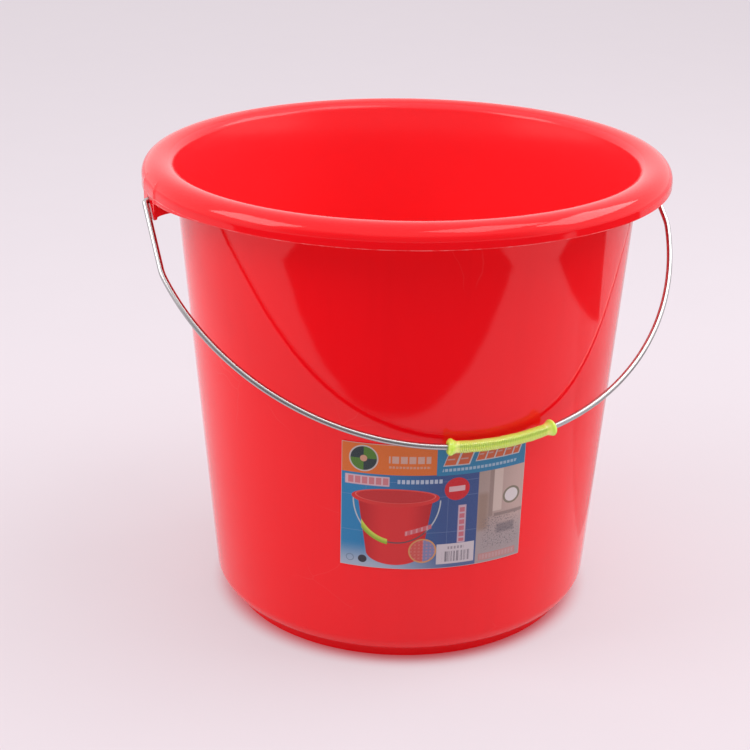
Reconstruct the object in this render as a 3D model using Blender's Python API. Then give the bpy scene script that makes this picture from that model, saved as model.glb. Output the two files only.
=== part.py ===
"""Wash bucket: moulded shell with two ears, wire bail, sliding grip sleeve and wall label.

Metres, +Z up. The origin is the centre of the foot ring's rest face, the ears lie on the
X axis and the bail hangs toward -Y.
"""
import math

import bmesh
import bpy
from mathutils import Vector

# Shell
HEIGHT = 0.2772            # foot to top of rim
RIM_R = 0.1550             # outside of the rolled rim
RIM_IN_R = 0.1356          # inside edge of the rim
RIM_ROUND = 0.0058         # height of the rounded top of the rim
SKIRT_H = 0.0125           # rim top to lower edge of the skirt
SHEET = 0.0020             # thickness of the rim and skirt
WALL_TOP_R = 0.1368        # outside of the wall, carried up to the rim top
TAPER = 0.0769             # change of wall radius per metre of height
WALL_T = 0.0017            # wall and floor thickness
CORNER_R = 0.0120          # outside radius between wall and floor
FOOT_R = 0.1060            # outside of the foot ring
FOOT_W = 0.0026            # width of the foot ring
FOOT_H = 0.0062            # height of the foot ring
TURNS = 72                 # facets round the shell

# Ears
EAR_HALF = 0.0120          # half width of an ear
EAR_FACE_X = 0.1551        # outer face of the tab
EAR_TAB = 0.0021           # thickness of the tab
EAR_TIP_Z = 0.2523         # lower end of the tab
EAR_TOP_Z = 0.2713         # upper end of the tab, merged with the rim
EAR_WEB = 0.0020           # thickness of the side webs
EAR_ARC_X = 0.0185         # hollow under each side web, along the radius
EAR_ARC_Z = 0.0032         # and its height
PIVOT_Z = 0.2613           # height of the bail's axis
HOLE_R = 0.00215           # hole through the tab

# Bail wire, measured in its own plane: u along X, v down from the pivot
WIRE_R = 0.00175
LEG_U = 0.1573             # half distance between the legs
ARC_R = 0.1607             # radius of the bow
ARC_DROP = 0.0152          # pivot line to the centre of the bow
KINK_R = 0.0300            # bend between leg and bow
EAR_BEND_R = 0.0022        # bend outside the tab
TAIL_BEND_R = 0.0025       # bend of the turned end
TAIL_U = 0.1478            # turned end inside the ear
TAIL_V = 0.0055
REST_DEG = 48.6            # bail plane from straight down toward -Y
WIRE_SIDES = 12

# Grip sleeve
GRIP_AT_DEG = 2.8          # middle of the sleeve along the bow
GRIP_LENGTH = 0.0655
GRIP_BODY_R = 0.0034
GRIP_FLANGE_R = 0.00485
GRIP_FLANGE_W = 0.0050
GRIP_BORE_R = 0.00205
GRIP_SIDES = 16

# Wall label
LABEL_W = 0.1064
LABEL_H = 0.0796
LABEL_MID_DEG = -12.4      # from -Y, toward -X
LABEL_LOW_Z = 0.0656
LABEL_GAP = 0.0003
LABEL_T = 0.00025

REST = math.radians(REST_DEG)
SLANT = math.atan(TAPER)
DOWN = Vector((0.0, -math.sin(REST), -math.cos(REST)))     # down the bail's plane
ACROSS = Vector((1.0, 0.0, 0.0))
NORMAL = ACROSS.cross(DOWN)
PIVOT = Vector((0.0, 0.0, PIVOT_Z))
BOW_CENTRE = PIVOT + DOWN * ARC_DROP


def wall_r(z):
    """Outside radius of the tapered wall."""
    return WALL_TOP_R - TAPER * (HEIGHT - z)


def corner():
    """Centre of the rounded corner between wall and floor."""
    z = FOOT_H + CORNER_R
    return wall_r(z) - CORNER_R / math.cos(SLANT), z


def clear_scene():
    for ob in list(bpy.data.objects):
        bpy.data.objects.remove(ob, do_unlink=True)


def material(name, colour, roughness, metallic=0.0):
    mat = bpy.data.materials.new(name)
    mat.use_nodes = True
    bsdf = mat.node_tree.nodes["Principled BSDF"]
    bsdf.inputs["Base Color"].default_value = (*colour, 1.0)
    bsdf.inputs["Roughness"].default_value = roughness
    bsdf.inputs["Metallic"].default_value = metallic
    mat.diffuse_color = (*colour, 1.0)
    return mat


def mesh_object(name, verts, faces, origin=(0.0, 0.0, 0.0), mat=None, smooth=True):
    """Closed mesh with its origin at the given place."""
    o = Vector(origin)
    me = bpy.data.meshes.new(name)
    me.from_pydata([Vector(v) - o for v in verts], [], faces)
    bm = bmesh.new()
    bm.from_mesh(me)
    bmesh.ops.recalc_face_normals(bm, faces=bm.faces)
    bm.to_mesh(me)
    bm.free()
    ob = bpy.data.objects.new(name, me)
    bpy.context.scene.collection.objects.link(ob)
    ob.location = o
    if mat:
        me.materials.append(mat)
    if smooth:
        me.shade_smooth()
        me.set_sharp_from_angle(angle=math.radians(35))
    return ob


def arc(cr, cz, a, b, start, end, count):
    """Points on an ellipse, angles in radians from the +r direction."""
    steps = [start + (end - start) * i / (count - 1) for i in range(count)]
    return [(cr + a * math.cos(t), cz + b * math.sin(t)) for t in steps]


def shell_profile():
    """Closed (r, z) outline, from the middle of the floor's underside outward."""
    cr, cz = corner()
    inner = FOOT_R - FOOT_W
    start = -math.acos((FOOT_R - cr) / CORNER_R)
    rim_c = 0.5 * (RIM_R + RIM_IN_R)
    half = 0.5 * (RIM_R - RIM_IN_R)
    seat = HEIGHT - RIM_ROUND
    under = [(wall_r(seat - 0.0030), seat - 0.0030)]
    under += arc(rim_c, seat, half - SHEET, RIM_ROUND - SHEET, math.pi, 0.0, 9)
    over = arc(rim_c, seat, half, RIM_ROUND, 0.0, math.pi, 13)
    low = HEIGHT - SKIRT_H
    pts = [(0.0, FOOT_H), (inner, FOOT_H), (inner, 0.0), (FOOT_R, 0.0)]
    pts += arc(cr, cz, CORNER_R, CORNER_R, start, -SLANT, 9)
    pts += under
    pts += [(RIM_R - SHEET, low), (RIM_R, low)]
    pts += over
    thin = CORNER_R - WALL_T
    pts += arc(cr, cz, thin, thin, -SLANT, -0.5 * math.pi, 8)
    pts += [(0.0, FOOT_H + WALL_T)]
    return pts


def revolve(name, profile, mat):
    """Turn an outline whose two ends lie on the Z axis."""
    verts, faces = [], []
    rows = len(profile) - 2
    verts.append((0.0, 0.0, profile[0][1]))
    verts.append((0.0, 0.0, profile[-1][1]))
    for i in range(TURNS):
        t = 2.0 * math.pi * i / TURNS
        verts += [(r * math.cos(t), r * math.sin(t), z) for r, z in profile[1:-1]]
    for i in range(TURNS):
        a, b = 2 + i * rows, 2 + ((i + 1) % TURNS) * rows
        faces.append((0, a, b))
        faces += [(a + k, a + k + 1, b + k + 1, b + k) for k in range(rows - 1)]
        faces.append((1, b + rows - 1, a + rows - 1))
    return mesh_object(name, verts, faces, mat=mat)


def prism(name, outline, place, depth):
    """Extruded outline; place(p, q, d) gives the world point."""
    n = len(outline)
    verts = [place(p, q, d) for d in depth for p, q in outline]
    faces = [tuple(range(n)), tuple(reversed(range(n, 2 * n)))]
    faces += [(k, (k + 1) % n, n + (k + 1) % n, n + k) for k in range(n)]
    return mesh_object(name, verts, faces, smooth=False)


def tab_outline():
    """Ear tab in (y, z): square at the top, rounded at the tip."""
    r = 0.0022
    pts = [(-EAR_HALF, EAR_TOP_Z)]
    pts += arc(-EAR_HALF + r, EAR_TIP_Z + r, r, r, math.pi, 1.5 * math.pi, 5)
    pts += arc(EAR_HALF - r, EAR_TIP_Z + r, r, r, 1.5 * math.pi, 2.0 * math.pi, 5)
    return pts + [(EAR_HALF, EAR_TOP_Z)]


def web_outline():
    """Side web in (x, z): hollow arc below, merged with the rim above."""
    seat = HEIGHT - RIM_ROUND
    rim_c = 0.5 * (RIM_R + RIM_IN_R)
    half = 0.5 * (RIM_R - RIM_IN_R) - 0.5 * SHEET
    foot = EAR_TIP_Z + 0.0012
    x_out = EAR_FACE_X - 0.5 * EAR_TAB
    cx = x_out - EAR_ARC_X - 0.0004
    pts = [(x_out, foot)]
    pts += arc(cx, foot, EAR_ARC_X, EAR_ARC_Z, 0.02, 0.5 * math.pi, 9)
    top_z = foot + EAR_ARC_Z
    for z in (top_z, seat - 0.0010):
        pts.append((wall_r(z) - 0.0014, z))
    pts += arc(rim_c, seat, half, RIM_ROUND - 0.5 * SHEET, 0.94 * math.pi, 0.06 * math.pi, 7)
    return pts + [(x_out, seat - 0.0010)]


def boolean(ob, other, how):
    mod = ob.modifiers.new(how.lower() + " " + other.name, "BOOLEAN")
    mod.operation = how
    mod.solver = "EXACT"
    mod.object = other
    other.hide_render = True
    other.display_type = "WIRE"


def build_shell(mat):
    shell = revolve("bucket_shell", shell_profile(), mat)
    x0 = EAR_FACE_X - EAR_TAB
    for side, tag in ((1.0, "right"), (-1.0, "left")):
        tab = prism("tool_tab_" + tag, tab_outline(),
                    lambda p, q, d: (side * d, p, q), (x0, EAR_FACE_X))
        boolean(shell, tab, "UNION")
        for y in (EAR_HALF - EAR_WEB - 0.0003, -EAR_HALF + 0.0003):
            web = prism("tool_web_" + tag, web_outline(),
                        lambda p, q, d: (side * p, d, q), (y, y + EAR_WEB))
            boolean(shell, web, "UNION")
        ring = arc(0.0, PIVOT_Z, HOLE_R, HOLE_R, 0.0, 2.0 * math.pi * 23 / 24, 24)
        pin = prism("tool_hole_" + tag, ring,
                    lambda p, q, d: (side * d, p, q), (x0 - 0.003, EAR_FACE_X + 0.003))
        boolean(shell, pin, "DIFFERENCE")
    return shell


def turn(u0, v0, start, end, radius, count):
    """Points of a bend about (u0, v0); angles from +v toward +u."""
    steps = [start + (end - start) * i / (count - 1) for i in range(count)]
    return [(u0 + radius * math.sin(t), v0 + radius * math.cos(t)) for t in steps]


def half_bail():
    """Centre line of the right half of the bail, from the middle to the turned end."""
    # the small bend lies inside both the leg line and the bow
    uk = LEG_U - KINK_R
    vk = ARC_DROP + math.sqrt((ARC_R - KINK_R) ** 2 - uk ** 2)
    meet = math.atan2(uk, vk - ARC_DROP)
    steps = 30
    pts = [(ARC_R * math.sin(meet * i / steps), ARC_DROP + ARC_R * math.cos(meet * i / steps))
           for i in range(steps)]
    pts += turn(uk, vk, meet, 0.5 * math.pi, KINK_R, 5)
    pts.append((LEG_U, 0.5 * vk))
    r = EAR_BEND_R
    pts += turn(LEG_U - r, r, 0.5 * math.pi, math.pi, r, 6)
    r = TAIL_BEND_R
    pts += turn(TAIL_U + r, r, math.pi, 1.5 * math.pi, r, 6)
    return pts + [(TAIL_U, TAIL_V)]


def sweep(name, centres, radii, sides, origin, mat, closed=False):
    """Round bar or sleeve along points (u, v) of the bail's plane.

    centres holds (u, v) with the in-plane normal (nu, nv) of each station.
    """
    verts, faces = [], []
    for (u, v, nu, nv), r in zip(centres, radii):
        c = PIVOT + ACROSS * u + DOWN * v
        n = ACROSS * nu + DOWN * nv
        for k in range(sides):
            t = 2.0 * math.pi * (k + 0.5) / sides
            verts.append(c + n * (r * math.cos(t)) + NORMAL * (r * math.sin(t)))
    count = len(centres)
    for i in range(count if closed else count - 1):
        a, b = i * sides, ((i + 1) % count) * sides
        for k in range(sides):
            m = (k + 1) % sides
            faces.append((a + k, a + m, b + m, b + k))
    if not closed:
        faces.append(tuple(reversed(range(sides))))
        faces.append(tuple(range((count - 1) * sides, count * sides)))
    return mesh_object(name, verts, faces, origin=origin, mat=mat)


def build_bail(mat):
    half = half_bail()
    line = [(-u, v) for u, v in reversed(half[1:])] + half
    stations = []
    for i, (u, v) in enumerate(line):
        u0, v0 = line[max(i - 1, 0)]
        u1, v1 = line[min(i + 1, len(line) - 1)]
        d = math.hypot(u1 - u0, v1 - v0)
        stations.append((u, v, -(v1 - v0) / d, (u1 - u0) / d))
    return sweep("bail_wire", stations, [WIRE_R] * len(stations), WIRE_SIDES, PIVOT, mat)


def build_grip(mat):
    mid = math.radians(GRIP_AT_DEG)
    half = 0.5 * GRIP_LENGTH
    w = GRIP_FLANGE_W
    side = [(-half, GRIP_FLANGE_R - 0.0007), (-half + 0.0007, GRIP_FLANGE_R),
            (-half + 0.5 * w, GRIP_FLANGE_R), (-half + w, GRIP_BODY_R)]
    body = [(s * (half - w) / 6.0, GRIP_BODY_R) for s in range(-5, 6)]
    outer = side + body + [(-s, r) for s, r in reversed(side)]
    bore = [(half - 2.0 * half * i / 12.0, GRIP_BORE_R) for i in range(13)]
    stations, radii = [], []
    for s, r in outer + bore:
        t = mid + s / ARC_R
        nu, nv = math.sin(t), math.cos(t)
        stations.append((ARC_R * nu, ARC_DROP + ARC_R * nv, nu, nv))
        radii.append(r)
    return sweep("grip_sleeve", stations, radii, GRIP_SIDES, BOW_CENTRE, mat, closed=True)


def build_label(mat):
    """Flat rectangle wrapped on the tapered wall."""
    sin_a = math.sin(SLANT)
    base = wall_r(LABEL_LOW_Z) / sin_a          # slant length from the cone's tip
    cols, rows = 22, 4
    verts = []
    for lift in (LABEL_GAP + LABEL_T, LABEL_GAP):
        for j in range(rows + 1):
            for i in range(cols + 1):
                x = LABEL_W * (i / cols - 0.5)
                y = base + LABEL_H * j / rows
                dist = math.hypot(x, y)
                az = math.atan2(x, y) / sin_a + math.radians(LABEL_MID_DEG)
                r = dist * sin_a
                z = HEIGHT - (WALL_TOP_R - r) / TAPER
                r += lift
                verts.append((r * math.sin(az), -r * math.cos(az), z))
    n = (cols + 1) * (rows + 1)
    at = lambda i, j, k: k * n + j * (cols + 1) + i
    faces = []
    for j in range(rows):
        for i in range(cols):
            quad = [(i, j), (i + 1, j), (i + 1, j + 1), (i, j + 1)]
            faces.append(tuple(at(p, q, 0) for p, q in quad))
            faces.append(tuple(at(p, q, 1) for p, q in reversed(quad)))
    edge = [(i, 0) for i in range(cols)] + [(cols, j) for j in range(rows)]
    edge += [(i, rows) for i in range(cols, 0, -1)] + [(0, j) for j in range(rows, 0, -1)]
    for (i, j), (p, q) in zip(edge, edge[1:] + edge[:1]):
        faces.append((at(i, j, 0), at(i, j, 1), at(p, q, 1), at(p, q, 0)))
    return mesh_object("label", verts, faces, mat=mat)


def main():
    clear_scene()
    build_shell(material("red_plastic", (0.72, 0.012, 0.02), 0.22))
    build_bail(material("plated_wire", (0.62, 0.62, 0.63), 0.25, 1.0))
    build_grip(material("green_plastic", (0.62, 0.86, 0.05), 0.3))
    build_label(material("printed_film", (0.10, 0.36, 0.62), 0.35))


main()
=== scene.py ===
"""Looks of the wash bucket: moulded shell, wire bail, grip sleeve and printed wall label."""

import math

import bmesh
import bpy
from mathutils import Matrix, Vector


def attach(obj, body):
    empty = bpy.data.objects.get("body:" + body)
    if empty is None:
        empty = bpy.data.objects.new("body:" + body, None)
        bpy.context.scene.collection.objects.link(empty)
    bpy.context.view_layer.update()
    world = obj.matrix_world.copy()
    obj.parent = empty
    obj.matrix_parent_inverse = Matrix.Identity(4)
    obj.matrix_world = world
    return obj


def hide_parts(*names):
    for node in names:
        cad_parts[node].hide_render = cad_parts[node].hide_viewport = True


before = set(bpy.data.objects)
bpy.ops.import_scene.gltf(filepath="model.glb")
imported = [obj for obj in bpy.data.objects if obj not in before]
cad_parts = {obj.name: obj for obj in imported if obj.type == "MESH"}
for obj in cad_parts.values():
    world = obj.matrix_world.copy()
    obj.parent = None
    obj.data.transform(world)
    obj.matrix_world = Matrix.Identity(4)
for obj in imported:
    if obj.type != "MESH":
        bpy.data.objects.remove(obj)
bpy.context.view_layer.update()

# ---------------------------------------------------------------- sizes, in metres
HEIGHT = 0.2772
RIM_R = 0.1550
RIM_IN_R = 0.1356
RIM_ROUND = 0.0058
ROUND_OUT = 0.0088
SKIRT_H = 0.0125
SHEET = 0.0020
WALL_TOP_R = 0.1368
TAPER = 0.0769
WALL_T = 0.0017
CORNER_R = 0.0120
FOOT_R = 0.1060
FOOT_W = 0.0026
FOOT_H = 0.0062
EAR_HALF = 0.0120
EAR_FACE_X = 0.1551
EAR_TAB = 0.0021
EAR_TIP_Z = 0.2523
EAR_WEB = 0.0020
EAR_SKIRT = 0.0026        # extra depth of the skirt beside an ear
EAR_BLEND = 0.42          # and the angle over which it fades, in radians
EAR_ARC_X = 0.0185
EAR_ARC_Z = 0.0032
PIVOT_Z = 0.2613
HOLE_R = 0.00215
WIRE_R = 0.00175
LEG_U = 0.1573
ARC_R = 0.1607
ARC_DROP = 0.0152
KINK_R = 0.0300
EAR_BEND_R = 0.0022
TAIL_BEND_R = 0.0025
TAIL_U = 0.1478
TAIL_V = 0.0055
GRIP_AT = math.radians(2.8)
GRIP_LENGTH = 0.0655
LABEL_W = 0.1064
LABEL_H = 0.0796
LABEL_MID = math.radians(-12.4)
LABEL_LOW_Z = 0.0656

REST = math.radians(48.6)
SLANT = math.atan(TAPER)
DOWN = Vector((0.0, -math.sin(REST), -math.cos(REST)))
ACROSS = Vector((1.0, 0.0, 0.0))
NORMAL = ACROSS.cross(DOWN)
PIVOT = Vector((0.0, 0.0, PIVOT_Z))
TURN = math.radians(21.6)          # how far the ears are turned from the camera's left and right

scene = bpy.context.scene
scene.view_settings.view_transform = "Standard"


# ---------------------------------------------------------------- mesh helpers
def new_object(name, verts, faces, mat, sharp=30.0):
    me = bpy.data.meshes.new(name)
    me.from_pydata([tuple(v) for v in verts], [], faces)
    bm = bmesh.new()
    bm.from_mesh(me)
    bmesh.ops.recalc_face_normals(bm, faces=bm.faces)
    bm.to_mesh(me)
    bm.free()
    ob = bpy.data.objects.new(name, me)
    scene.collection.objects.link(ob)
    me.materials.append(mat)
    me.shade_smooth()
    me.set_sharp_from_angle(angle=math.radians(sharp))
    return ob


def arc(cr, cz, a, b, start, end, count):
    steps = [start + (end - start) * i / (count - 1) for i in range(count)]
    return [(cr + a * math.cos(t), cz + b * math.sin(t)) for t in steps]


def ramp(x, lo, hi):
    t = min(max((x - lo) / (hi - lo), 0.0), 1.0)
    return t * t * (3.0 - 2.0 * t)


def wall_r(z):
    return WALL_TOP_R - TAPER * (HEIGHT - z)


# ---------------------------------------------------------------- node helpers
class Tree:
    """Short names for making shader nodes."""

    def __init__(self, tree):
        self.t = tree
        self.x = 0

    def node(self, kind, **values):
        n = self.t.nodes.new(kind)
        self.x += 40
        n.location = (self.x, 0)
        for key, value in values.items():
            setattr(n, key, value)
        return n

    def link(self, a, b):
        self.t.links.new(a, b)

    def put(self, socket, value):
        if isinstance(value, bpy.types.NodeSocket):
            self.link(value, socket)
        elif value is not None:
            socket.default_value = value

    def math(self, op, a, b=None, c=None, clamp=False):
        n = self.node("ShaderNodeMath", operation=op, use_clamp=clamp)
        for i, v in enumerate((a, b, c)):
            self.put(n.inputs[i], v)
        return n.outputs[0]

    def mix(self, fac, a, b, how="MIX"):
        n = self.node("ShaderNodeMix", data_type="RGBA", blend_type=how)
        self.put(n.inputs[0], fac)
        self.put(n.inputs[6], (*a, 1.0) if isinstance(a, tuple) else a)
        self.put(n.inputs[7], (*b, 1.0) if isinstance(b, tuple) else b)
        return n.outputs[2]

    def noise(self, vector, scale, detail=2.0, rough=0.5, distortion=0.0):
        n = self.node("ShaderNodeTexNoise")
        self.put(n.inputs["Vector"], vector)
        self.put(n.inputs["Scale"], scale)
        self.put(n.inputs["Detail"], detail)
        self.put(n.inputs["Roughness"], rough)
        self.put(n.inputs["Distortion"], distortion)
        return n.outputs["Fac"]

    def noise_colour(self, vector, scale):
        n = self.node("ShaderNodeTexNoise")
        self.put(n.inputs["Vector"], vector)
        self.put(n.inputs["Scale"], scale)
        return n.outputs["Color"]

    def spots(self, vector, scale, feature="F1", random=1.0):
        n = self.node("ShaderNodeTexVoronoi", feature=feature)
        self.put(n.inputs["Vector"], vector)
        self.put(n.inputs["Scale"], scale)
        self.put(n.inputs["Randomness"], random)
        return n.outputs["Distance"]

    def band(self, value, lo, hi, smooth=True, to=(0.0, 1.0)):
        n = self.node("ShaderNodeMapRange", interpolation_type="SMOOTHSTEP" if smooth else "LINEAR")
        for i, v in enumerate((value, lo, hi, to[0], to[1])):
            self.put(n.inputs[i], v)
        return n.outputs[0]

    def split(self, vector):
        n = self.node("ShaderNodeSeparateXYZ")
        self.put(n.inputs[0], vector)
        return n.outputs[0], n.outputs[1], n.outputs[2]

    def join(self, x, y, z):
        n = self.node("ShaderNodeCombineXYZ")
        for i, v in enumerate((x, y, z)):
            self.put(n.inputs[i], v)
        return n.outputs[0]

    def scaled(self, vector, factors):
        n = self.node("ShaderNodeVectorMath", operation="MULTIPLY")
        self.put(n.inputs[0], vector)
        self.put(n.inputs[1], factors)
        return n.outputs[0]

    def bump(self, height, strength, distance, normal=None):
        n = self.node("ShaderNodeBump")
        self.put(n.inputs["Strength"], strength)
        self.put(n.inputs["Distance"], distance)
        self.put(n.inputs["Height"], height)
        if normal is not None:
            self.put(n.inputs["Normal"], normal)
        return n.outputs[0]


def material(name):
    mat = bpy.data.materials.new(name)
    mat.use_nodes = True
    t = Tree(mat.node_tree)
    bsdf = mat.node_tree.nodes["Principled BSDF"]
    place = t.node("ShaderNodeTexCoord").outputs["Object"]
    return mat, t, bsdf, place


# ---------------------------------------------------------------- materials
def red_plastic():
    mat, t, bsdf, p = material("red_moulded_plastic")
    cloud = t.noise(p, 9.0, 3.0, 0.55)
    flow = t.noise(t.scaled(p, (60.0, 60.0, 6.0)), 1.0, 3.0, 0.6, 0.4)
    outer = t.mix(cloud, (0.91, 0.0028, 0.0078), (0.96, 0.0042, 0.0102))
    outer = t.mix(t.band(flow, 0.45, 0.75, to=(0.0, 0.25)), outer, (0.84, 0.0028, 0.0078))
    inner = t.mix(cloud, (0.95, 0.0210, 0.0300), (0.98, 0.0250, 0.0350))
    inside = t.node("ShaderNodeAttribute", attribute_name="inside").outputs["Fac"]
    base = t.mix(inside, outer, inner)
    # moulding specks, hair scratches and the flash left along the skirt's lower edge, which is painted pale
    # as a highlight
    speck = t.band(t.spots(p, 42.0), 0.012, 0.022, to=(1.0, 0.0))
    sparse = t.band(t.noise(p, 23.0, 0.0), 0.58, 0.62)
    base = t.mix(t.math("MULTIPLY", speck, sparse), base, (0.95, 0.12, 0.12))
    wander = t.node("ShaderNodeVectorMath", operation="ADD")
    t.put(wander.inputs[0], p)
    t.put(wander.inputs[1], t.scaled(t.noise_colour(p, 30.0), (0.02, 0.02, 0.02)))
    hair = t.band(t.spots(wander.outputs[0], 24.0, "DISTANCE_TO_EDGE"), 0.0, 0.010, to=(1.0, 0.0))
    hair = t.math("MULTIPLY", hair, t.band(t.noise(p, 17.0, 1.0), 0.62, 0.70, to=(0.0, 0.12)))
    base = t.mix(hair, base, (0.96, 0.14, 0.14))
    px, py, pz = t.split(p)
    radius = t.math("SQRT", t.math("ADD", t.math("MULTIPLY", px, px), t.math("MULTIPLY", py, py)))
    low = t.math("ABSOLUTE", t.math("SUBTRACT", pz, HEIGHT - SKIRT_H + 0.0003))
    # painted highlight: a thin irregular pale pink line along the flash at the skirt's lower edge
    flash_highlight = t.math("MULTIPLY", t.band(low, 0.0001, 0.0004, to=(1.0, 0.0)), t.band(radius, 0.1543, 0.1546))
    flash_highlight = t.math("MULTIPLY", flash_highlight, t.band(t.noise(p, 70.0, 3.0, 0.7), 0.42, 0.62, to=(0.05, 0.60)))
    base = t.mix(flash_highlight, base, (0.95, 0.30, 0.30))
    t.put(bsdf.inputs["Base Color"], base)
    scuff = t.noise(t.scaled(p, (40.0, 40.0, 900.0)), 1.0, 2.0, 0.7)
    gloss = t.band(scuff, 0.35, 0.8, to=(0.06, 0.085))
    t.put(bsdf.inputs["Roughness"], t.math("ADD", gloss, t.math("MULTIPLY", inside, 0.12)))
    peel = t.noise(p, 620.0, 2.0, 0.5)
    swell = t.noise(p, 26.0, 1.0, 0.4)
    n = t.bump(peel, 0.04, 0.0002)
    t.put(bsdf.inputs["Normal"], t.bump(swell, 0.10, 0.0015, n))
    bsdf.inputs["IOR"].default_value = 1.42
    bsdf.inputs["Subsurface Weight"].default_value = 0.12
    bsdf.inputs["Subsurface Radius"].default_value = (0.008, 0.0012, 0.0010)
    bsdf.inputs["Subsurface Scale"].default_value = 1.0
    return mat


def plated_steel():
    mat, t, bsdf, p = material("plated_steel_wire")
    draw = t.noise(p, 140.0, 2.0, 0.5)
    tone = t.noise(p, 45.0, 2.0, 0.5)
    t.put(bsdf.inputs["Base Color"], t.mix(tone, (0.45, 0.45, 0.45), (0.53, 0.53, 0.52)))
    t.put(bsdf.inputs["Roughness"], t.band(draw, 0.3, 0.7, to=(0.20, 0.25)))
    bsdf.inputs["Metallic"].default_value = 1.0
    t.put(bsdf.inputs["Normal"], t.bump(draw, 0.02, 0.0001))
    return mat


def green_sleeve():
    mat, t, bsdf, p = material("green_translucent_sleeve")
    cloud = t.noise(p, 120.0, 2.0, 0.5)
    clear = t.mix(cloud, (0.86, 0.98, 0.22), (0.92, 0.99, 0.30))
    rib_lit = t.node("ShaderNodeAttribute", attribute_name="rib_lit").outputs["Fac"]
    wire_shade = t.node("ShaderNodeAttribute", attribute_name="wire_shade").outputs["Fac"]
    horn = t.node("ShaderNodeAttribute", attribute_name="horn").outputs["Fac"]
    # painted shade: the grooves between the ribs are painted a darker green
    tint = t.mix(rib_lit, (0.50, 0.74, 0.06), clear)
    # painted shade of the wire seen through the sleeve, darker still in the grooves
    tint = t.mix(t.math("MULTIPLY", wire_shade, 0.75), tint, t.mix(rib_lit, (0.26, 0.42, 0.04), (0.50, 0.70, 0.12)))
    t.put(bsdf.inputs["Base Color"], t.mix(horn, tint, (0.66, 0.97, 0.12)))
    t.put(bsdf.inputs["Roughness"], t.band(cloud, 0.3, 0.7, to=(0.10, 0.16)))
    bsdf.inputs["Subsurface Weight"].default_value = 0.6
    bsdf.inputs["Subsurface Radius"].default_value = (0.0020, 0.0024, 0.0006)
    bsdf.inputs["Subsurface Scale"].default_value = 1.0
    bsdf.inputs["Transmission Weight"].default_value = 0.12
    bsdf.inputs["IOR"].default_value = 1.5
    # a faint painted glow brightens the sleeve
    bsdf.inputs["Emission Color"].default_value = (0.60, 0.78, 0.06, 1.0)
    bsdf.inputs["Emission Strength"].default_value = 0.05
    bsdf.inputs["Coat Weight"].default_value = 0.6
    bsdf.inputs["Coat Roughness"].default_value = 0.08
    t.put(bsdf.inputs["Normal"], t.bump(t.noise(p, 300.0, 1.0), 0.03, 0.0002))
    return mat


def floor_paint():
    mat, t, bsdf, p = material("studio_floor")
    grain = t.noise(p, 14.0, 3.0, 0.5)
    t.put(bsdf.inputs["Base Color"], t.mix(grain, (0.350, 0.322, 0.344), (0.360, 0.332, 0.354)))
    # the floor's own light, pale further out; round the foot ring it is painted dim and red, a painted
    # contact shadow with red bounce light
    px, py, _ = t.split(p)
    away = t.math("SQRT", t.math("ADD", t.math("MULTIPLY", px, px), t.math("MULTIPLY", py, py)))
    glow_with_painted_shadow = t.mix(t.band(away, 0.105, 0.122), (0.30, 0.030, 0.040), (0.400, 0.365, 0.385))
    t.put(bsdf.inputs["Emission Color"], glow_with_painted_shadow)
    bsdf.inputs["Emission Strength"].default_value = 1.0
    bsdf.inputs["Roughness"].default_value = 0.8
    bsdf.inputs["Specular IOR Level"].default_value = 0.0
    return mat


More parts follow.
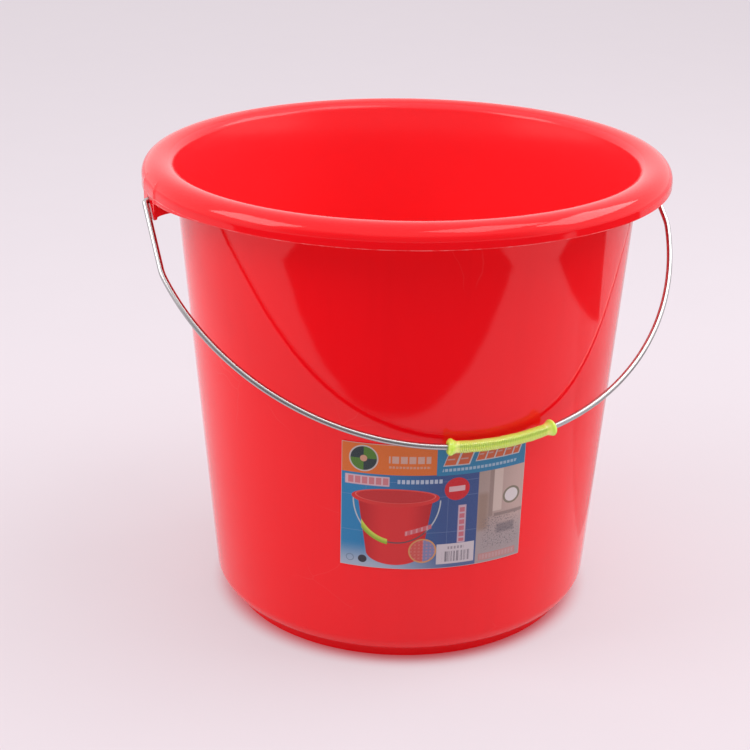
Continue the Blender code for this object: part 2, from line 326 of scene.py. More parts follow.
def label_print():
    """The printed label. Its map runs in millimetres from the lower left corner."""
    mat, t, bsdf, _ = material("printed_label_film")
    uv = t.node("ShaderNodeUVMap", uv_map="millimetres").outputs[0]
    x, y, _ = t.split(uv)

    def rect(x0, y0, x1, y1, soft=0.12):
        a = t.band(x, x0 - soft, x0 + soft)
        b = t.band(x, x1 - soft, x1 + soft, to=(1.0, 0.0))
        c = t.band(y, y0 - soft, y0 + soft)
        d = t.band(y, y1 - soft, y1 + soft, to=(1.0, 0.0))
        return t.math("MULTIPLY", t.math("MULTIPLY", a, b), t.math("MULTIPLY", c, d))

    def away(cx, cy, sx=1.0, sy=1.0):
        dx = t.math("DIVIDE", t.math("SUBTRACT", x, cx), sx)
        dy = t.math("DIVIDE", t.math("SUBTRACT", y, cy), sy)
        s = t.math("ADD", t.math("MULTIPLY", dx, dx), t.math("MULTIPLY", dy, dy))
        return t.math("SQRT", s)

    def disc(cx, cy, r, soft=0.12, ratio=1.0):
        return t.band(away(cx, cy, 1.0, ratio), r - soft, r + soft, to=(1.0, 0.0))

    def ring(cx, cy, r, w, soft=0.12, ratio=1.0):
        off = t.math("ABSOLUTE", t.math("SUBTRACT", away(cx, cy, 1.0, ratio), r))
        return t.band(off, 0.5 * w - soft, 0.5 * w + soft, to=(1.0, 0.0))

    def both(a, b):
        return t.math("MULTIPLY", a, b)

    def stripes(value, pitch, part, soft=0.10):
        """1 on the first part of each pitch."""
        saw = t.math("MODULO", value, pitch)
        return t.band(saw, pitch * part - soft, pitch * part + soft, to=(1.0, 0.0))

    def slanted(x0, y0, x1, y1, lean=0.35):
        lx = t.math("SUBTRACT", x, t.math("MULTIPLY", t.math("SUBTRACT", y, y0), lean))
        a = t.band(lx, x0 - 0.15, x0 + 0.15)
        b = t.band(lx, x1 - 0.15, x1 + 0.15, to=(1.0, 0.0))
        c = t.band(y, y0 - 0.15, y0 + 0.15)
        d = t.band(y, y1 - 0.15, y1 + 0.15, to=(1.0, 0.0))
        return both(both(a, b), both(c, d))

    W, H = LABEL_W * 1000.0, LABEL_H * 1000.0
    SPLIT_X, SPLIT_Y, PICTURE_X = 53.0, 60.8, 77.6
    # blue field: light cyan at the left, deep blue at the right, pale at the lower left
    across = t.band(x, 4.0, 62.0)
    col = t.mix(across, (0.020, 0.200, 0.420), (0.040, 0.078, 0.225))
    pale = both(t.band(y, 0.0, 17.0, to=(1.0, 0.0)), t.band(x, 20.0, 66.0, to=(1.0, 0.15)))
    col = t.mix(pale, col, (0.36, 0.42, 0.52))
    for cy in (23.5, 46.5, 56.2):
        col = t.mix(both(rect(0.0, cy, PICTURE_X, cy + 0.25), 0.35), col, (0.30, 0.40, 0.55))
    for cx in (14.0, 60.0):
        col = t.mix(both(rect(cx, 6.0, cx + 0.25, 57.0), 0.25), col, (0.30, 0.40, 0.55))
    # picture of a bucket
    cx = 30.6
    drop = t.math("SUBTRACT", 47.0, y)
    half = t.math("SUBTRACT", 21.2, t.math("MULTIPLY", drop, 0.145))
    side = t.math("ABSOLUTE", t.math("SUBTRACT", x, cx))
    inside = t.band(t.math("SUBTRACT", side, half), -0.2, 0.2, to=(1.0, 0.0))
    body = both(both(inside, t.band(y, 10.0, 10.4)), t.band(y, 46.6, 47.0, to=(1.0, 0.0)))
    base = disc(cx, 10.8, 15.9, ratio=0.52)
    body = t.math("MAXIMUM", body, base)
    shade = t.band(side, 6.0, 20.0)
    red = t.mix(shade, (0.64, 0.024, 0.026), (0.46, 0.012, 0.016))
    col = t.mix(body, col, red)
    col = t.mix(disc(cx, 46.2, 24.6, ratio=0.235), col, (0.62, 0.030, 0.028))
    col = t.mix(disc(cx, 47.0, 21.2, ratio=0.185), col, (0.50, 0.024, 0.026))
    col = t.mix(ring(cx, 47.2, 22.3, 0.5, ratio=0.195), col, (0.66, 0.17, 0.15))
    # its bail: left leg, bow and grip
    swing = ring(31.4, 45.0, 24.4, 0.75, ratio=1.14)
    bow = both(swing, t.band(y, 44.0, 45.0, to=(1.0, 0.0)))
    metal = t.mix(both(t.band(x, 22.0, 28.0), t.band(x, 47.0, 51.0, to=(1.0, 0.0))),
                  (0.44, 0.47, 0.50), (0.12, 0.07, 0.08))
    col = t.mix(bow, col, metal)
    arc_at = away(31.4, 45.0, 1.0, 1.14)
    tube = t.band(t.math("ABSOLUTE", t.math("SUBTRACT", arc_at, 24.4)), 1.30, 1.60, to=(1.0, 0.0))
    tube = both(tube, rect(11.8, 10.0, 26.6, 32.0))
    lime = t.mix(t.band(t.math("SUBTRACT", arc_at, 24.4), -1.0, 1.0), (0.52, 0.60, 0.08), (0.26, 0.40, 0.03))
    col = t.mix(tube, col, lime)
    ribbon = t.math("ABSOLUTE", t.math("SUBTRACT", y, t.math("ADD", 11.6, t.math("MULTIPLY", x, 0.32))))
    ribbon = both(t.band(ribbon, 1.2, 1.6, to=(1.0, 0.0)), rect(36.4, 18.0, 51.2, 32.0))
    col = t.mix(both(ribbon, 0.75), col, (0.62, 0.34, 0.37))
    col = t.mix(both(both(ribbon, stripes(x, 2.9, 0.66)), 0.7), col, (0.52, 0.06, 0.08))
    # header strip, side strip and small marks, with plain blocks for print
    ink = both(stripes(x, 3.9, 0.78), rect(3.2, 54.2, 26.5, 58.6))
    col = t.mix(rect(2.2, 53.4, 27.0, 59.4, 0.4), col, (0.62, 0.42, 0.46))
    col = t.mix(both(ink, 0.75), col, (0.52, 0.11, 0.13))
    col = t.mix(both(both(stripes(x, 2.6, 0.7), rect(31.5, 55.4, 57.0, 58.0)), 0.8), col, (0.50, 0.56, 0.66))
    col = t.mix(both(rect(66.2, 16.0, 70.8, 40.5, 0.4), 0.9), col, (0.58, 0.40, 0.46))
    ink = both(stripes(y, 4.0, 0.74), rect(67.0, 16.8, 70.0, 39.8))
    col = t.mix(both(ink, 0.8), col, (0.50, 0.09, 0.12))
    # red roundel
    col = t.mix(disc(65.0, 51.2, 7.2), col, (0.56, 0.014, 0.022))
    plain = t.math("ADD", 49.4, t.math("MULTIPLY", x, 0.03))
    plain = t.band(t.math("ABSOLUTE", t.math("SUBTRACT", y, plain)), 1.5, 1.8, to=(1.0, 0.0))
    col = t.mix(both(both(plain, rect(60.4, 46.0, 69.6, 56.0)), 0.8), col, (0.66, 0.50, 0.52))
    # small magnifier ring beside the bucket's foot
    halves = t.mix(t.band(x, 46.6, 47.0), (0.55, 0.085, 0.075), (0.20, 0.20, 0.36))
    dots = both(stripes(x, 2.2, 0.5), stripes(y, 2.2, 0.5))
    halves = t.mix(both(dots, 0.4), halves, (0.62, 0.22, 0.18))
    col = t.mix(disc(46.6, 12.0, 7.4), col, halves)
    col = t.mix(ring(46.6, 12.0, 7.5, 0.9), col, (0.58, 0.27, 0.10))
    # white patch with plain bars
    col = t.mix(rect(54.6, 2.6, 76.6, 15.8, 0.2), col, (0.56, 0.50, 0.53))
    bars = t.noise(t.join(t.math("MULTIPLY", x, 1.55), 3.3, 0.0), 1.0, 3.0, 0.9)
    bars = both(t.band(bars, 0.50, 0.53), rect(57.4, 4.0, 74.4, 10.8))
    col = t.mix(both(bars, 0.8), col, (0.09, 0.08, 0.10))
    col = t.mix(both(both(stripes(x, 1.9, 0.6), rect(61.0, 12.2, 70.5, 14.0)), 0.6), col, (0.14, 0.12, 0.15))
    # two round marks at the lower left
    col = t.mix(disc(12.8, 5.2, 2.5), col, (0.035, 0.032, 0.045))
    col = t.mix(both(ring(5.6, 5.2, 2.1, 0.5), 0.7), col, (0.10, 0.16, 0.22))
    # pale picture at the right: tiles, a shelf and a round mirror
    tile = t.mix(t.band(x, PICTURE_X, W), (0.36, 0.27, 0.24), (0.52, 0.37, 0.33))
    tile = t.mix(t.band(y, 12.0, 36.0, to=(1.0, 0.0)), tile, (0.36, 0.30, 0.30))
    tile = t.mix(rect(PICTURE_X, 22.0, 84.0, 46.0, 2.0), tile, (0.30, 0.205, 0.165))
    tile = t.mix(both(rect(87.0, 33.0, 92.6, 61.0, 0.3), 0.7), tile, (0.62, 0.50, 0.44))
    tile = t.mix(both(rect(84.4, 30.0, 87.0, 61.0, 0.4), 0.5), tile, (0.20, 0.14, 0.12))
    tile = t.mix(ring(98.6, 41.5, 4.9, 1.3), tile, (0.22, 0.19, 0.14))
    tile = t.mix(disc(98.6, 41.5, 4.2), tile, (0.66, 0.60, 0.60))
    tile = t.mix(both(rect(88.0, 29.4, W, 31.6, 0.4), 0.6), tile, (0.16, 0.12, 0.11))
    pebble = both(t.band(t.noise(uv, 0.9, 2.0, 0.8), 0.54, 0.60), rect(81.5, 9.0, 104.0, 30.0, 2.0))
    tile = t.mix(both(pebble, 0.8), tile, (0.15, 0.13, 0.15))
    tile = t.mix(both(rect(90.0, 18.0, 101.5, 24.0, 1.2), 0.55), tile, (0.10, 0.09, 0.11))
    tile = t.mix(both(rect(79.5, 1.6, 103.5, 6.2, 0.3), 0.7), tile, (0.52, 0.20, 0.19))
    ink = both(stripes(x, 2.1, 0.7), rect(80.5, 2.4, 102.5, 5.4))
    tile = t.mix(both(ink, 0.5), tile, (0.50, 0.36, 0.36))
    col = t.mix(rect(PICTURE_X, -2.0, W + 2.0, SPLIT_Y + 0.4, 0.3), col, tile)
    # top: orange panel and cyan panel
    col = t.mix(rect(-2.0, SPLIT_Y, SPLIT_X, H + 2.0), col, (0.66, 0.150, 0.026))
    col = t.mix(rect(SPLIT_X, SPLIT_Y - 0.6, W + 2.0, H + 2.0), col, (0.030, 0.195, 0.365))
    ink = both(stripes(x, 4.7, 0.80), rect(26.4, 68.2, 49.6, 72.6))
    col = t.mix(both(ink, 0.8), col, (0.56, 0.40, 0.35))
    ink = both(stripes(x, 1.9, 0.72), rect(26.4, 65.0, 49.6, 66.4))
    col = t.mix(both(ink, 0.7), col, (0.56, 0.34, 0.26))
    # emblem: a plain quartered disc
    col = t.mix(disc(12.4, 70.2, 8.2), col, (0.50, 0.46, 0.44))
    quarter = t.math("MULTIPLY", t.math("SUBTRACT", x, 12.4), t.math("SUBTRACT", y, 70.2))
    quarter = t.mix(t.band(quarter, -0.4, 0.4), (0.030, 0.045, 0.050), (0.085, 0.200, 0.030))
    col = t.mix(disc(12.4, 70.2, 7.4), col, quarter)
    col = t.mix(disc(12.4, 70.2, 2.0), col, (0.58, 0.30, 0.20))
    # leaning orange blocks and a fine line on the cyan panel
    blocks = ((57.0, 63.4), (64.6, 71.0), (75.4, 80.2), (81.0, 85.8), (86.6, 91.4),
              (92.2, 97.0), (97.8, 101.4))
    for x0, x1 in blocks:
        y0 = 66.6 if x0 < 72.0 else 68.0
        col = t.mix(slanted(x0 - 0.6, y0 - 0.6, x1 + 0.6, y0 + 7.8), col, (0.50, 0.50, 0.52))
        col = t.mix(slanted(x0, y0, x1, y0 + 7.2), col, (0.56, 0.115, 0.045))
        cut = slanted(x0 + 1.6, y0 + 3.1, x1 - 0.6, y0 + 3.9)
        col = t.mix(both(cut, 0.6), col, (0.50, 0.45, 0.45))
    fine = both(both(stripes(x, 2.3, 0.75), slanted(56.0, 62.6, 100.0, 64.4)), 0.7)
    col = t.mix(fine, col, (0.42, 0.52, 0.62))
    # thin pale margin
    edge = t.math("MINIMUM", t.math("MINIMUM", x, t.math("SUBTRACT", W, x)),
                  t.math("MINIMUM", y, t.math("SUBTRACT", H, y)))
    col = t.mix(t.band(edge, 0.18, 0.34, to=(0.75, 0.0)), col, (0.60, 0.50, 0.50))
    grain = t.noise(uv, 2.8, 2.0, 0.6)
    col = t.mix(t.band(grain, 0.3, 0.7, to=(0.0, 0.10)), col, (0.9, 0.9, 0.9), "MULTIPLY")
    t.put(bsdf.inputs["Base Color"], col)
    t.put(bsdf.inputs["Roughness"], t.band(grain, 0.3, 0.7, to=(0.22, 0.34)))
    bsdf.inputs["IOR"].default_value = 1.40
    wrinkle = t.noise(uv, 0.10, 2.0, 0.5)
    t.put(bsdf.inputs["Normal"], t.bump(wrinkle, 0.25, 0.0008))
    return mat


RED = red_plastic()
STEEL = plated_steel()
GREEN = green_sleeve()
PRINT = label_print()


# ---------------------------------------------------------------- shell
def shell_angles():
    """Angles round the shell, closer together at the two ears."""
    edge = math.asin(EAR_HALF / RIM_R)
    near = [0.0, 0.6, 1.2, 1.8, 2.4, 3.0, 3.4, 3.65, 3.85, 4.05, 4.2, 4.3, 4.38]
    near = [math.radians(a) for a in near] + [edge, edge + math.radians(0.012)]
    near += [edge + math.radians(a) for a in (0.10, 0.22, 0.40, 0.70, 1.2, 2.0, 3.0)]
    out = []
    for centre in (0.0, math.pi):
        out += [centre - a for a in reversed(near[1:])] + [centre + a for a in near]
        start, end = centre + near[-1], centre + math.pi - near[-1]
        n = 128
        out += [start + (end - start) * i / n for i in range(1, n)]
    return out, edge


def shell_profile(low):
    """(r, z) outline for one angle; low is the height of the skirt's lower edge there."""
    z = FOOT_H + CORNER_R
    cr, cz = wall_r(z) - CORNER_R / math.cos(SLANT), z
    inner = FOOT_R - FOOT_W
    drop = lambda r, c=CORNER_R: cz - math.sqrt(c * c - (r - cr) ** 2)
    rim_c, half = 0.5 * (RIM_R + RIM_IN_R), 0.5 * (RIM_R - RIM_IN_R)
    seat = HEIGHT - RIM_ROUND
    e = 0.0005
    # underside: gate mark, shallow step, foot ring
    pts = [(0.0, FOOT_H - 0.0006), (0.0022, FOOT_H - 0.0006), (0.0028, FOOT_H - 0.0004), (0.0032, FOOT_H)]
    pts += [(0.030, FOOT_H), (0.060, FOOT_H), (0.0604, FOOT_H - 0.0003), (0.0630, FOOT_H - 0.0003)]
    pts += [(0.0634, FOOT_H), (inner - 0.0006, FOOT_H), (inner - 0.0001, FOOT_H - 0.0002)]
    pts += [(inner, 0.0004), (inner + 0.0001, 0.0001), (inner + 0.0004, 0.0)]
    pts += [(FOOT_R - 0.0004, 0.0), (FOOT_R - 0.0001, 0.0001), (FOOT_R, 0.0004)]
    pts += [(FOOT_R, drop(FOOT_R) - 0.0002), (FOOT_R + 0.0002, drop(FOOT_R))]
    start = -math.acos((FOOT_R + 0.0006 - cr) / CORNER_R)
    pts += arc(cr, cz, CORNER_R, CORNER_R, start, -SLANT, 22)
    top = seat - 0.0035
    pts += [(wall_r(cz + (top - cz) * i / 12), cz + (top - cz) * i / 12) for i in range(1, 13)]
    under = arc(rim_c, seat, half - SHEET, RIM_ROUND - SHEET, math.pi, 0.0, 13)
    pts += [(wall_r(top) + 0.0006, seat - 0.0014)] + under
    ri, ro = RIM_R - SHEET, RIM_R
    for i in range(1, 5):
        pts.append((ri, seat + (low + e - seat) * i / 4.0))
    brow = HEIGHT - ROUND_OUT
    pts += [(ri + 0.3 * e, low + 0.3 * e), (ri + e, low), (ro - e, low), (ro - 0.3 * e, low + 0.3 * e)]
    skirt = [(ro, low + e + (brow - low - e) * i / 7.0) for i in range(8)]
    over = arc(rim_c, brow, half, ROUND_OUT, 0.0, 0.5 * math.pi, 17)
    over += arc(rim_c, seat, half, RIM_ROUND, 0.5 * math.pi, math.pi, 15)[1:]
    pts += skirt + over[1:]
    inside_from = len(pts) - 8
    thin = CORNER_R - WALL_T
    zi = seat - 0.0035
    pts.append((wall_r(zi) - WALL_T, zi))
    pts += [(wall_r(zi + (cz - zi) * i / 12) - WALL_T, zi + (cz - zi) * i / 12) for i in range(1, 12)]
    pts += arc(cr, cz, thin, thin, -SLANT, -0.5 * math.pi, 18)
    floor = FOOT_H + WALL_T
    pts += [(0.062, floor), (0.0612, floor + 0.0004), (0.0300, floor + 0.0004)]
    pts += [(0.0050, floor + 0.0004), (0.0044, floor + 0.0001), (0.0, floor + 0.0001)]
    return pts, inside_from


def build_shell():
    angles, edge = shell_angles()
    low_rim = HEIGHT - SKIRT_H
    corner = 0.0022
    verts, faces, flags = [], [], [0.0, 1.0]
    rows = None
    ends = None
    for a in angles:
        off = abs((a + 0.5 * math.pi) % math.pi - 0.5 * math.pi)
        y = RIM_R * math.sin(off)
        if off <= edge + 1e-9:
            d = max(y - (EAR_HALF - corner), 0.0)
            low = EAR_TIP_Z + corner - math.sqrt(max(corner * corner - d * d, 0.0))
        else:
            low = low_rim - EAR_SKIRT * (1.0 - ramp(off, edge, edge + EAR_BLEND))
        prof, inside_from = shell_profile(low)
        if rows is None:
            rows = len(prof) - 2
            ends = prof[0][1], prof[-1][1]
            verts += [(0.0, 0.0, ends[0]), (0.0, 0.0, ends[1])]
        flat = 1.0 - ramp(y, EAR_HALF - 0.0010, EAR_HALF + 0.0028)
        flags += [1.0 if k >= inside_from else 0.0 for k in range(1, len(prof) - 1)]
        for r, z in prof[1:-1]:
            if flat > 0.0 and r > RIM_R - 0.0045 and z > EAR_TIP_Z - 0.001:
                lift = flat * (1.0 - ramp(z, HEIGHT - 0.0096, HEIGHT - 0.0005))
                face = EAR_FACE_X - (RIM_R - r)
                r = r + lift * (face / math.cos(min(off, 0.12)) - r)
            verts.append((r * math.cos(a), r * math.sin(a), z))
    n = len(angles)
    for i in range(n):
        p, q = 2 + i * rows, 2 + ((i + 1) % n) * rows
        faces.append((0, p, q))
        faces += [(p + k, p + k + 1, q + k + 1, q + k) for k in range(rows - 1)]
        faces.append((1, q + rows - 1, p + rows - 1))
    shell = new_object("bucket_shell_moulding", verts, faces, RED, 32.0)
    shell.data.attributes.new("inside", "FLOAT", "POINT").data.foreach_set("value", flags)
    for side in (1.0, -1.0):
        ring = arc(0.0, PIVOT_Z, HOLE_R, HOLE_R, 0.0, 2.0 * math.pi * 47 / 48, 48)
        n = len(ring)
        cv = [(side * x, y, z) for x in (0.150, 0.158) for y, z in ring]
        cf = [tuple(range(n)), tuple(reversed(range(n, 2 * n)))]
        cf += [(k, (k + 1) % n, n + (k + 1) % n, n + k) for k in range(n)]
        pin = new_object("hole_tool", cv, cf, RED)
        mod = shell.modifiers.new("hole", "BOOLEAN")
        mod.operation, mod.solver, mod.object = "DIFFERENCE", "EXACT", pin
        apply_modifiers(shell)
        bpy.data.objects.remove(pin, do_unlink=True)
    return shell


def apply_modifiers(ob):
    """Turn the evaluated mesh into the object's own."""
    graph = bpy.context.evaluated_depsgraph_get()
    me = bpy.data.meshes.new_from_object(ob.evaluated_get(graph))
    old = ob.data
    ob.modifiers.clear()
    ob.data = me
    bpy.data.meshes.remove(old)


def web_outline():
    seat = HEIGHT - RIM_ROUND
    rim_c = 0.5 * (RIM_R + RIM_IN_R)
    half = 0.5 * (RIM_R - RIM_IN_R) - 0.5 * SHEET
    foot = EAR_TIP_Z + 0.0012
    x_out = EAR_FACE_X - 0.5 * EAR_TAB
    cx = x_out - EAR_ARC_X - 0.0004
    pts = [(x_out, foot)]
    pts += arc(cx, foot, EAR_ARC_X, EAR_ARC_Z, 0.02, 0.5 * math.pi, 25)
    for z in (foot + EAR_ARC_Z, seat - 0.0010):
        pts.append((wall_r(z) - 0.0012, z))
    pts += arc(rim_c, seat, half, RIM_ROUND - 0.5 * SHEET, 0.94 * math.pi, 0.06 * math.pi, 9)
    return pts + [(x_out, seat - 0.0010)]


def build_webs():
    outline = web_outline()
    n = len(outline)
    verts, faces = [], []
    for side in (1.0, -1.0):
        for y in (EAR_HALF - EAR_WEB - 0.0001, -EAR_HALF + 0.0001):
            b = len(verts)
            for dy in (0.0, EAR_WEB):
                verts += [(side * x, y + dy, z) for x, z in outline]
            faces.append(tuple(range(b, b + n)))
            faces.append(tuple(reversed(range(b + n, b + 2 * n))))
            faces += [(b + k, b + (k + 1) % n, b + n + (k + 1) % n, b + n + k) for k in range(n)]
    webs = new_object("ear_webs", verts, faces, RED, 32.0)
    mod = webs.modifiers.new("edge", "BEVEL")
    mod.width, mod.segments, mod.limit_method = 0.00025, 2, "ANGLE"
    mod.angle_limit = math.radians(50.0)
    apply_modifiers(webs)
    return webs


shell = build_shell()
webs = build_webs()
for piece in (shell, webs):
    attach(piece, "bucket")
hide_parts("bucket_shell")


# ---------------------------------------------------------------- wire and sleeve
def turn(u0, v0, start, end, radius, count):
    steps = [start + (end - start) * i / (count - 1) for i in range(count)]
    return [(u0 + radius * math.sin(t), v0 + radius * math.cos(t)) for t in steps]


def half_bail():
    uk = LEG_U - KINK_R
    vk = ARC_DROP + math.sqrt((ARC_R - KINK_R) ** 2 - uk ** 2)
    meet = math.atan2(uk, vk - ARC_DROP)
    steps = 90
    pts = [(ARC_R * math.sin(meet * i / steps), ARC_DROP + ARC_R * math.cos(meet * i / steps))
           for i in range(steps)]
    pts += turn(uk, vk, meet, 0.5 * math.pi, KINK_R, 12)
    pts += [(LEG_U, vk + (EAR_BEND_R - vk) * i / 12) for i in range(1, 12)]
    r = EAR_BEND_R
    pts += turn(LEG_U - r, r, 0.5 * math.pi, math.pi, r, 12)
    r = TAIL_BEND_R
    pts += turn(TAIL_U + r, r, math.pi, 1.5 * math.pi, r, 12)
    return pts + [(TAIL_U, 0.5 * (TAIL_V + r)), (TAIL_U, TAIL_V)]


def sweep(name, stations, sides, mat, closed=False, sharp=35.0):
    """stations: (u, v, nu, nv, radius) along the bar, in the bail's plane."""
    verts, faces = [], []
    for u, v, nu, nv, r in stations:
        c = PIVOT + ACROSS * u + DOWN * v
        n = ACROSS * nu + DOWN * nv
        for k in range(sides):
            t = 2.0 * math.pi * (k + 0.5) / sides
            verts.append(c + n * (r * math.cos(t)) + NORMAL * (r * math.sin(t)))
    count = len(stations)
    for i in range(count if closed else count - 1):
        a, b = i * sides, ((i + 1) % count) * sides
        for k in range(sides):
            m = (k + 1) % sides
            faces.append((a + k, a + m, b + m, b + k))
    if not closed:
        faces.append(tuple(reversed(range(sides))))
        faces.append(tuple(range((count - 1) * sides, count * sides)))
    return new_object(name, verts, faces, mat, sharp)


def build_bail():
    half = half_bail()
    line = [(-u, v) for u, v in reversed(half[1:])] + half
    stations = []
    for i, (u, v) in enumerate(line):
        u0, v0 = line[max(i - 1, 0)]
        u1, v1 = line[min(i + 1, len(line) - 1)]
        d = math.hypot(u1 - u0, v1 - v0)
        stations.append((u, v, -(v1 - v0) / d, (u1 - u0) / d, WIRE_R))
    # small chamfer on both cut ends
    ends = []
    for s, into in ((stations[0], stations[1]), (stations[-1], stations[-2])):
        d = math.hypot(s[0] - into[0], s[1] - into[1])
        step = 0.0004
        back = (s[0] + (into[0] - s[0]) / d * step, s[1] + (into[1] - s[1]) / d * step)
        ends.append((back, s))
    first, last = ends
    s = first[1]
    head = [(s[0], s[1], s[2], s[3], WIRE_R - 0.0004), (*first[0], s[2], s[3], WIRE_R)]
    s = last[1]
    tail = [(*last[0], s[2], s[3], WIRE_R), (s[0], s[1], s[2], s[3], WIRE_R - 0.0004)]
    return sweep("bail_wire_bent", head + stations[1:-1] + tail, 24, STEEL)


def build_grip():
    """Ribbed sleeve with a rounded flange at each end; s runs along the bow, in metres."""
    half = 0.5 * GRIP_LENGTH
    flange, body, bore = 0.00485, 0.0033, 0.00205
    neck, bulb, collar = 0.0030, 0.0036, 0.0056
    pitch, rib_high, groove_deep = 0.00106, 0.00030, 0.00014

    def end_radius(d):
        """Outer radius at a distance d from the end."""
        swell = neck + (flange - neck) * math.sin(math.pi * min(d / bulb, 1.0)) ** 0.55
        horn = body + 0.0010 * (1.0 - ramp(d, 0.0026, collar))
        return swell if d < 0.5 * bulb else max(swell, horn)

    outer = []
    near = [collar * (1.0 - math.cos(0.5 * math.pi * i / 20.0)) for i in range(21)]
    for d in near:
        outer.append((-half + d, end_radius(d), 1.0))
    span = half - collar
    ribs = int(2.0 * span / pitch)
    per = 8
    for i in range(1, ribs * per):
        s = -span + 2.0 * span * i / (ribs * per)
        wave = 0.5 - 0.5 * math.cos(2.0 * math.pi * i / per)
        fade = ramp(span - abs(s), 0.0, 0.0014)
        sway = 0.00006 * math.sin(430.0 * s) + 0.00005 * math.sin(1130.0 * s + 1.0)
        r = body - groove_deep * fade + (rib_high * wave + sway) * fade
        # the third value is 1 on a rib's crest and falls in the groove, where shade is painted
        outer.append((s, r, 1.0 - fade * (1.0 - wave)))
    outer += [(half - d, end_radius(d), 1.0) for d in reversed(near)]
    inner = [(half - 2.0 * half * i / 40.0, bore, 1.0) for i in range(41)]
    sides = 40
    # a darker lane along the front and one along the back: painted shade of the wire seen through the sleeve
    facing = [math.cos(2.0 * math.pi * (k + 0.5) / sides) for k in range(sides)]
    lane = [ramp(c, 0.02, 0.20) * (1.0 - ramp(c, 0.48, 0.66)) for c in facing]
    stations, rib_lit_values, wire_shade, horn = [], [], [], []
    for s, r, rib_lit in outer + inner:
        clear_of_end = ramp(half - abs(s), 0.0030, 0.0058)
        t = GRIP_AT + s / ARC_R
        nu, nv = math.sin(t), math.cos(t)
        stations.append((ARC_R * nu, ARC_DROP + ARC_R * nv, nu, nv, r))
        rib_lit_values += [rib_lit] * sides
        wire_shade += [clear_of_end * part for part in lane]
        horn += [1.0 - ramp(half - abs(s), 0.0024, 0.0052)] * sides
    ob = sweep("grip_sleeve_ribbed", stations, sides, GREEN, closed=True, sharp=50.0)
    for name, values in (("rib_lit", rib_lit_values), ("wire_shade", wire_shade), ("horn", horn)):
        ob.data.attributes.new(name, "FLOAT", "POINT").data.foreach_set("value", values)
    return ob


bail = build_bail()
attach(bail, "bail")
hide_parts("bail_wire")
grip = build_grip()
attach(grip, "grip")
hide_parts("grip_sleeve")


# ---------------------------------------------------------------- label
def build_label():
    """Flat rectangle wrapped on the cone of the wall."""
    sin_a = math.sin(SLANT)
    base = wall_r(LABEL_LOW_Z) / sin_a
    cols, rows = 120, 48
    verts, uvs = [], []
    for lift in (0.0003 + 0.0002, 0.0003):
        for j in range(rows + 1):
            for i in range(cols + 1):
                x = LABEL_W * (i / cols - 0.5)
                y = LABEL_H * j / rows
                dist = math.hypot(x, base + y)
                az = math.atan2(x, base + y) / sin_a + LABEL_MID
                r = dist * sin_a
                z = HEIGHT - (WALL_TOP_R - r) / TAPER
                r += lift
                verts.append((r * math.sin(az), -r * math.cos(az), z))
                uvs.append(((x + 0.5 * LABEL_W) * 1000.0, y * 1000.0))
    n = (cols + 1) * (rows + 1)
    at = lambda i, j, k: k * n + j * (cols + 1) + i
    faces = []
    for j in range(rows):
        for i in range(cols):
            quad = [(i, j), (i + 1, j), (i + 1, j + 1), (i, j + 1)]
            faces.append(tuple(at(p, q, 0) for p, q in quad))
            faces.append(tuple(at(p, q, 1) for p, q in reversed(quad)))
    rim = [(i, 0) for i in range(cols)] + [(cols, j) for j in range(rows)]
    rim += [(i, rows) for i in range(cols, 0, -1)] + [(0, j) for j in range(rows, 0, -1)]
    for (i, j), (p, q) in zip(rim, rim[1:] + rim[:1]):
        faces.append((at(i, j, 0), at(i, j, 1), at(p, q, 1), at(p, q, 0)))
    ob = new_object("label_print", verts, faces, PRINT, 40.0)
    layer = ob.data.uv_layers.new(name="millimetres")
    for loop in ob.data.loops:
        layer.data[loop.index].uv = uvs[loop.vertex_index]
    return ob


label = build_label()
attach(label, "bucket")
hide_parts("label")


# ---------------------------------------------------------------- stage, light and camera
def stage_plane(name, places, z, mat):
    """Flat sheet with its corners in the camera's frame, turned to the object's."""
    turn_back = Matrix.Rotation(-TURN, 4, "Z")
    corners = [turn_back @ Vector((x, y, z)) for x, y in places]
    me = bpy.data.meshes.new(name)
    me.from_pydata([tuple(c) for c in corners], [], [tuple(range(len(corners)))])
    ob = bpy.data.objects.new(name, me)
    scene.collection.objects.link(ob)
    me.materials.append(mat)
    return ob


def area(name, where, at, size, power, colour=(1.0, 1.0, 1.0)):
    """Soft box at a place in the camera's frame, looking at another."""
    turn_back = Matrix.Rotation(-TURN, 4, "Z")
    data = bpy.data.lights.new(name, "AREA")
    data.shape, data.size, data.size_y = "RECTANGLE", size[0], size[1]
    data.energy, data.color = power, colour
    ob = bpy.data.objects.new(name, data)
    scene.collection.objects.link(ob)
    place, target = turn_back @ Vector(where), turn_back @ Vector(at)
    ob.location = place
    ob.rotation_euler = (target - place).to_track_quat("-Z", "Y").to_euler()
    return ob


def card_paint(name, colour):
    """Plain matt paint for a card."""
    mat, _, bsdf, _ = material(name)
    bsdf.inputs["Base Color"].default_value = (*colour, 1.0)
    bsdf.inputs["Roughness"].default_value = 1.0
    return mat


FLOOR = 25.0              # half the floor's side
FLOOR_CORNERS = ((-FLOOR, -FLOOR), (FLOOR, -FLOOR), (FLOOR, FLOOR), (-FLOOR, FLOOR))
stage_plane("studio_floor", FLOOR_CORNERS, 0.0, floor_paint())

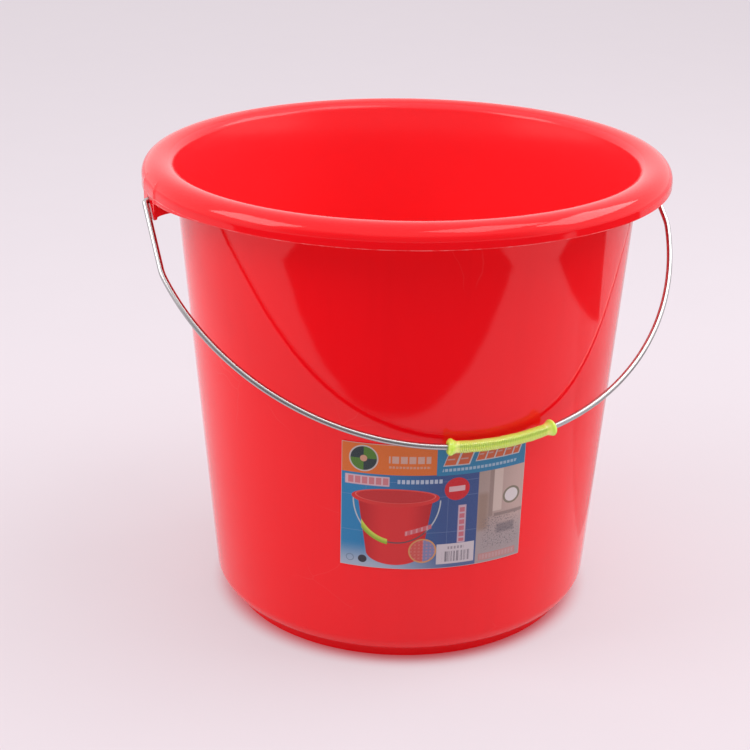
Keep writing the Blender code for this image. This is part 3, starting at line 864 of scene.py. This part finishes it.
# cards on the floor, hidden from the camera, diffuse light and shadows: they darken reflections
dark = card_paint("dark_card", (0.05, 0.045, 0.045))
grey = card_paint("grey_card", (0.50, 0.46, 0.48))
CARD_Z = 0.002
CARDS = (
    ("studio_flag", ((-1.4, -2.8), (1.4, -2.8), (1.4, -0.4635), (-1.4, -0.302)), CARD_Z, dark),
    ("studio_side_flag", ((0.16, 0.02), (1.6, 0.02), (1.6, 1.8), (0.16, 1.8)), CARD_Z, grey),
    ("studio_far_flag", ((0.655, -0.24), (1.8, -0.66), (1.8, 0.60), (0.49, 0.19)), CARD_Z + 0.001, dark),
)
for name, places, level, paint in CARDS:
    card = stage_plane(name, places, level, paint)
    card.visible_camera = card.visible_diffuse = card.visible_shadow = False

area("soft_left", (-1.15, -0.34, 1.16), (0.0, 0.0, 0.25), (0.85, 0.75), 7.5, (1.0, 0.98, 0.99))
area("soft_right", (1.14, 0.20, 1.26), (0.0, 0.0, 0.25), (1.25, 0.65), 9.0, (1.0, 0.98, 0.99))
area("soft_top", (0.55, -0.30, 1.7), (0.0, -0.1, 0.0), (0.95, 0.6), 5.0, (1.0, 0.99, 1.0))

world = bpy.data.worlds.new("studio")
scene.world = world
world.use_nodes = True
back = world.node_tree.nodes["Background"]
sky = Tree(world.node_tree)
east, north, up = sky.split(sky.node("ShaderNodeTexCoord").outputs["Generated"])
# the room is dimmer on the side toward -Y, below the ceiling
toward = sky.math("ADD", sky.math("MULTIPLY", east, -math.sin(TURN)),
                  sky.math("MULTIPLY", north, -math.cos(TURN)))
dim = sky.math("MULTIPLY", sky.band(toward, 0.30, 0.75), sky.band(up, 0.45, 0.75, to=(1.0, 0.0)))
sky.put(back.inputs["Color"], sky.mix(dim, (0.96, 0.93, 0.95), (0.30, 0.27, 0.28)))
back.inputs["Strength"].default_value = 1.07

CAM_UNIT = 0.155
DISTANCE, RAISE, LOWER = 6.9987 * CAM_UNIT, 0.5047, 0.0099
FOCAL = 2.2               # in picture widths
YAW, PITCH, ROLL = 0.0180, -0.3798, -0.0118
cam_data = bpy.data.cameras.new("view")
cam_data.sensor_width = 36.0
cam_data.lens = FOCAL * cam_data.sensor_width
cam = bpy.data.objects.new("view", cam_data)
scene.collection.objects.link(cam)
spot = Vector((0.0, -DISTANCE * math.cos(RAISE), DISTANCE * math.sin(RAISE) - LOWER))
look = (Matrix.Rotation(YAW, 4, "Z") @ Matrix.Rotation(PITCH, 4, "X")
        @ Matrix.Rotation(ROLL, 4, "Y") @ Matrix.Rotation(0.5 * math.pi, 4, "X"))
cam.matrix_world = Matrix.Rotation(-TURN, 4, "Z") @ Matrix.Translation(spot) @ look
cam_data.clip_start, cam_data.clip_end = 0.05, 60.0
scene.camera = cam
